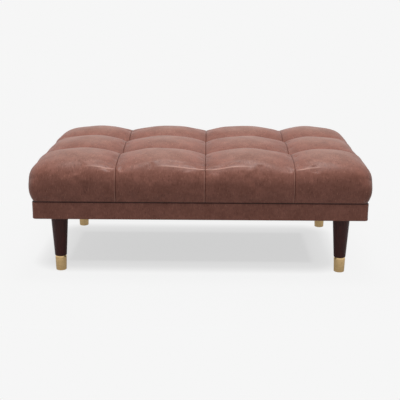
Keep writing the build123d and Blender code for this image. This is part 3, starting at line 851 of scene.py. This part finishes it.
def brushed_brass():
    """Satin brass, turned and brushed on the lathe: warm pale gold with fine rings round it, about
    0.6 mm apart, drawn coarse enough to show."""
    made, tree, shader, place = material("satin_brushed_brass")
    rings = node(tree, "ShaderNodeMapping", {"Vector": place, "Scale": (24.0, 24.0, 1600.0)})
    brushed = node(tree, "ShaderNodeTexNoise", {
        "Vector": rings.outputs["Vector"], "Scale": 1.0, "Detail": 3.0,
    })
    tone = node(tree, "ShaderNodeValToRGB", {"Fac": brushed.outputs["Fac"]}, stops=[
        (0.30, paint("#CAA876")),
        (0.70, paint("#E5C693")),
    ])
    gloss = node(tree, "ShaderNodeMapRange", {
        "Value": brushed.outputs["Fac"], "From Min": 0.3, "From Max": 0.7,
        "To Min": 0.26, "To Max": 0.40,
    })
    relief = node(tree, "ShaderNodeBump", {
        "Strength": 0.10, "Distance": 0.0002, "Height": brushed.outputs["Fac"],
    })
    connect(tree, shader, {
        "Base Color": tone.outputs["Color"],
        "Normal": relief.outputs["Normal"],
        "Roughness": gloss.outputs[0],
        "Metallic": 1.0,
    })
    return made


def planed_wood(name, scale):
    """Bare planed hardwood for the hidden frame: pale, with growth streaks some 3 mm apart, dry and
    matt."""
    made, tree, shader, place = material(name)
    along = node(tree, "ShaderNodeMapping", {"Vector": place, "Scale": scale})
    streaks = node(tree, "ShaderNodeTexNoise", {
        "Vector": along.outputs["Vector"], "Scale": 1.0, "Detail": 4.0, "Distortion": 0.4,
    })
    tone = node(tree, "ShaderNodeValToRGB", {"Fac": streaks.outputs["Fac"]}, stops=[
        (0.32, paint("#A9855A")),
        (0.68, paint("#CFAE80")),
    ])
    relief = node(tree, "ShaderNodeBump", {
        "Strength": 0.2, "Distance": 0.0004, "Height": streaks.outputs["Fac"],
    })
    connect(tree, shader, {
        "Base Color": tone.outputs["Color"],
        "Normal": relief.outputs["Normal"],
        "Roughness": 0.72,
    })
    return made


def birch_plywood():
    """Sanded birch plywood: pale veneers 1.5 mm thick, stacked, which show as lines on the edges."""
    made, tree, shader, place = material("birch_plywood")
    plies = node(tree, "ShaderNodeTexWave", {
        "Vector": place, "Scale": 105.0, "Distortion": 0.6, "Detail": 2.0,
    }, bands_direction="Z")
    figure = node(tree, "ShaderNodeMapping", {"Vector": place, "Scale": (18.0, 260.0, 260.0)})
    grain = node(tree, "ShaderNodeTexNoise", {
        "Vector": figure.outputs["Vector"], "Scale": 1.0, "Detail": 3.0,
    })
    both = node(tree, "ShaderNodeMix", {
        0: 0.5, 2: plies.outputs["Fac"], 3: grain.outputs["Fac"],
    }, data_type="FLOAT")
    tone = node(tree, "ShaderNodeValToRGB", {"Fac": both.outputs[0]}, stops=[
        (0.2, paint("#A98152")),
        (0.7, paint("#D9BC8C")),
    ])
    connect(tree, shader, {"Base Color": tone.outputs["Color"], "Roughness": 0.65})
    return made


def zinc_steel():
    """Bright zinc-plated steel: cool grey with faint cloudy patches of about 5 mm."""
    made, tree, shader, place = material("zinc_plated_steel")
    patches = node(tree, "ShaderNodeTexNoise", {"Vector": place, "Scale": 200.0, "Detail": 2.0})
    tone = node(tree, "ShaderNodeValToRGB", {"Fac": patches.outputs["Fac"]}, stops=[
        (0.3, paint("#A9ABAC")),
        (0.7, paint("#C8C9C6")),
    ])
    connect(tree, shader, {
        "Base Color": tone.outputs["Color"],
        "Metallic": 1.0,
        "Roughness": 0.34,
    })
    return made


def underside_weave():
    """Black non-woven dust cloth, spun-bonded: a dull sheet with pressed dots 3.2 mm apart, drawn
    as crossed waves."""
    made, tree, shader, place = material("black_spunbond_cloth")
    waves = [
        node(tree, "ShaderNodeTexWave", {"Vector": place, "Scale": 98.0}, bands_direction=axis)
        for axis in "XY"
    ]
    dots = node(tree, "ShaderNodeMath", {
        0: waves[0].outputs["Fac"], 1: waves[1].outputs["Fac"],
    }, operation="MULTIPLY")
    fibres = node(tree, "ShaderNodeTexNoise", {"Vector": place, "Scale": 320.0, "Detail": 3.0})
    both = node(tree, "ShaderNodeMix", {
        0: 0.5, 2: dots.outputs[0], 3: fibres.outputs["Fac"],
    }, data_type="FLOAT")
    tone = node(tree, "ShaderNodeValToRGB", {"Fac": both.outputs[0]}, stops=[
        (0.2, paint("#141414")),
        (0.7, paint("#2A2A2B")),
    ])
    relief = node(tree, "ShaderNodeBump", {
        "Strength": 0.4, "Distance": 0.0003, "Height": both.outputs[0],
    })
    connect(tree, shader, {
        "Base Color": tone.outputs["Color"],
        "Normal": relief.outputs["Normal"],
        "Roughness": 0.9,
    })
    return made


def moulded_plastic(name, dark, light, roughness):
    """Injection-moulded nylon: one even colour with a faint spark-eroded texture of 1 mm."""
    made, tree, shader, place = material(name)
    erode = node(tree, "ShaderNodeTexNoise", {"Vector": place, "Scale": 1000.0, "Detail": 2.0})
    tone = node(tree, "ShaderNodeValToRGB", {"Fac": erode.outputs["Fac"]}, stops=[
        (0.3, paint(dark)),
        (0.7, paint(light)),
    ])
    relief = node(tree, "ShaderNodeBump", {
        "Strength": 0.15, "Distance": 0.0002, "Height": erode.outputs["Fac"],
    })
    connect(tree, shader, {
        "Base Color": tone.outputs["Color"],
        "Normal": relief.outputs["Normal"],
        "Roughness": roughness,
    })
    return made


def waxed_twine():
    """Waxed flax twine: straw-coloured yarn, twisted, with a dark line about every 8 mm."""
    made, tree, shader, place = material("waxed_flax_twine")
    lay = node(tree, "ShaderNodeTexWave", {
        "Vector": place, "Scale": 80.0, "Distortion": 1.0,
    }, bands_direction="DIAGONAL")
    tone = node(tree, "ShaderNodeValToRGB", {"Fac": lay.outputs["Fac"]}, stops=[
        (0.2, paint("#8C7548")),
        (0.7, paint("#C9B384")),
    ])
    connect(tree, shader, {"Base Color": tone.outputs["Color"], "Roughness": 0.7})
    return made


def grey(level):
    """A neutral colour of that linear level."""
    return (level, level, level, 1.0)


def studio_floor():
    """Seamless pale paper. The camera sees it part self-lit, more so away from the stool, so that
    it stays pale round a soft shadow. Gloss sees the paper with a little of that glow. On the
    object it throws back less light than paper would."""
    made = bpy.data.materials.new("pale_paper_floor")
    made.use_nodes = True
    tree = made.node_tree
    tree.nodes.clear()
    path = node(tree, "ShaderNodeLightPath")
    mirrored = node(tree, "ShaderNodeMath", {
        0: path.outputs["Is Glossy Ray"], 1: path.outputs["Is Transmission Ray"],
    }, operation="MAXIMUM")
    place = node(tree, "ShaderNodeTexCoord").outputs["Object"]
    for operation, value in (
        ("SUBTRACT", (-0.035, 0.0, 0.0)),
        ("ABSOLUTE", (0.0, 0.0, 0.0)),
        ("SUBTRACT", (0.41, 0.165, 0.0)),
        ("MAXIMUM", (0.0, 0.0, 0.0)),
    ):
        step = node(tree, "ShaderNodeVectorMath", {0: place, 1: value}, operation=operation)
        place = step.outputs[0]
    away = node(tree, "ShaderNodeVectorMath", {0: place}, operation="LENGTH")
    near = node(tree, "ShaderNodeMapRange", {"Value": away.outputs["Value"], "From Max": 0.6})
    glow = node(tree, "ShaderNodeValToRGB", {"Fac": near.outputs[0]}, stops=[
        (0.0, grey(0.66)),
        (0.03, grey(0.72)),
        (0.11, grey(0.76)),
        (0.16, grey(0.84)),
        (0.22, grey(0.96)),
        (1.0, grey(1.0)),
    ])
    paper = node(tree, "ShaderNodeBsdfDiffuse", {"Color": paint("#E9E9E9")})
    lit = node(tree, "ShaderNodeEmission", {"Color": paint("#F6F6F6"), "Strength": 1.0})
    shown = node(tree, "ShaderNodeMixShader", {
        0: glow.outputs["Color"], 1: paper.outputs[0], 2: lit.outputs[0],
    })
    plain = node(tree, "ShaderNodeMixShader", {0: 0.36, 1: paper.outputs[0], 2: lit.outputs[0]})
    dim = node(tree, "ShaderNodeBsdfDiffuse", {"Color": grey(0.30)})
    other = node(tree, "ShaderNodeMixShader", {
        0: mirrored.outputs[0], 1: dim.outputs[0], 2: plain.outputs[0],
    })
    both = node(tree, "ShaderNodeMixShader", {
        0: path.outputs["Is Camera Ray"], 1: other.outputs[0], 2: shown.outputs[0],
    })
    node(tree, "ShaderNodeOutputMaterial", {"Surface": both.outputs[0]})
    return made


def studio_world():
    """The room: pale to the camera and gloss, and a low light on the object that is strongest
    from the front and the back and falls off to the sides, most of all to the right."""
    world = bpy.data.worlds.new("studio")
    world.use_nodes = True
    tree = world.node_tree
    tree.nodes.clear()
    path = node(tree, "ShaderNodeLightPath")
    seen = path.outputs["Is Camera Ray"]
    for ray in ("Is Glossy Ray", "Is Transmission Ray"):
        step = node(tree, "ShaderNodeMath", {0: seen, 1: path.outputs[ray]}, operation="MAXIMUM")
        seen = step.outputs[0]
    pale = node(tree, "ShaderNodeBackground", {"Color": paint("#F5F5F5"), "Strength": 1.0})
    place = node(tree, "ShaderNodeTexCoord").outputs["Generated"]
    toward = node(tree, "ShaderNodeSeparateXYZ", {"Vector": place})
    across = node(tree, "ShaderNodeMapRange", {"Value": toward.outputs["X"], "From Min": -1.0})
    walls = node(tree, "ShaderNodeValToRGB", {"Fac": across.outputs[0]}, stops=[
        (0.0, grey(0.42)),
        (0.45, grey(1.0)),
        (1.0, grey(0.15)),
    ])
    fill = node(tree, "ShaderNodeBackground", {"Color": walls.outputs["Color"], "Strength": 0.62})
    both = node(tree, "ShaderNodeMixShader", {0: seen, 1: fill.outputs[0], 2: pale.outputs[0]})
    node(tree, "ShaderNodeOutputWorld", {"Surface": both.outputs[0]})
    bpy.context.scene.world = world


# Camera, floor and light


def make_camera():
    """The photograph's view: 76.5 mm on a 36 mm square, 14.5 degrees down, very slightly turned."""
    pitch, roll, yaw = 0.2530, 0.0044, 0.0094
    turn = Matrix.Rotation(yaw, 3, "Z")
    turn = turn @ Matrix.Rotation(math.pi / 2 - pitch, 3, "X") @ Matrix.Rotation(roll, 3, "Z")
    data = bpy.data.cameras.new("camera")
    data.sensor_width = 36.0
    data.lens = 850.43 / 400 * 36.0
    camera = bpy.data.objects.new("camera", data)
    camera.matrix_world = Matrix.Translation((0.0243, -2.9591, 0.9383)) @ turn.to_4x4()
    bpy.context.scene.collection.objects.link(camera)
    bpy.context.scene.camera = camera


def make_floor():
    """A broad floor, large enough to reach past the horizon in every view."""
    half = 40.0
    points = np.array([(-half, -half, 0), (half, -half, 0), (half, half, 0), (-half, half, 0)])
    floor = solid("floor", points, [np.array([[0, 1, 2, 3]])], smooth=False)
    floor.data.materials.append(studio_floor())


def make_softbox():
    """A large round softbox, almost straight above the stool, that looks at it."""
    place = Vector((0.15, -0.12, 4.0))
    data = bpy.data.lights.new("softbox", "AREA")
    data.shape = "DISK"
    data.size = 1.3
    data.energy = 96.0
    lamp = bpy.data.objects.new("softbox", data)
    turn = (place - Vector((0.0, 0.0, 0.25))).to_track_quat("Z", "Y").to_matrix().to_4x4()
    lamp.matrix_world = Matrix.Translation(place) @ turn
    bpy.context.scene.collection.objects.link(lamp)


# Assembly

make_camera()
make_floor()
studio_world()
make_softbox()

upholstery = leather_finish("semi_aniline_leather", "#865B4D", "#916658", "#9D7062")
walnut = stained_walnut()
brass = brushed_brass()
hardwood = planed_wood("planed_hardwood", (14.0, 300.0, 300.0))
hardwood_deep = planed_wood("planed_hardwood_crosswise", (300.0, 14.0, 300.0))
plywood = birch_plywood()
zinc = zinc_steel()
spunbond = underside_weave()
nylon = moulded_plastic("moulded_nylon_glide", "#4A4845", "#55524E", 0.45)
acetal = moulded_plastic("moulded_toggle", "#D8D6CF", "#E6E4DE", 0.5)
twine = waxed_twine()

cushion = make_cushion()
cushion.data.materials.append(upholstery)
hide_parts("cushion_cover", "cushion_wadding", "cushion_foam")
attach(cushion, "root")

band = make_band()
band.data.materials.append(upholstery)
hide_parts("base_cover", "base_padding")
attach(band, "root")

staples = make_staples()
staples.data.materials.append(zinc)
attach(staples, "root")

cloth = make_underside_cloth()
cloth.data.materials.append(spunbond)
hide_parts("dust_cover")
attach(cloth, "root")

finishes = {
    "leg_": walnut,
    "ferrule_": brass,
    "glide_": nylon,
    "front_rail": hardwood,
    "back_rail": hardwood,
    "left_": hardwood_deep,
    "right_": hardwood_deep,
    "corner_block_": hardwood,
    "rail_dowels": hardwood,
    "cushion_board": plywood,
    "block_screws": zinc,
    "cushion_screws": zinc,
    "leg_tee_nuts": zinc,
    "leg_hanger_bolts": zinc,
    "tufting_twines": twine,
    "tufting_toggles": acetal,
}
for name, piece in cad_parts.items():
    for start, finish in finishes.items():
        if name.startswith(start):
            piece.data.materials.clear()
            piece.data.materials.append(finish)

scene = bpy.context.scene
scene.view_settings.view_transform = "Standard"
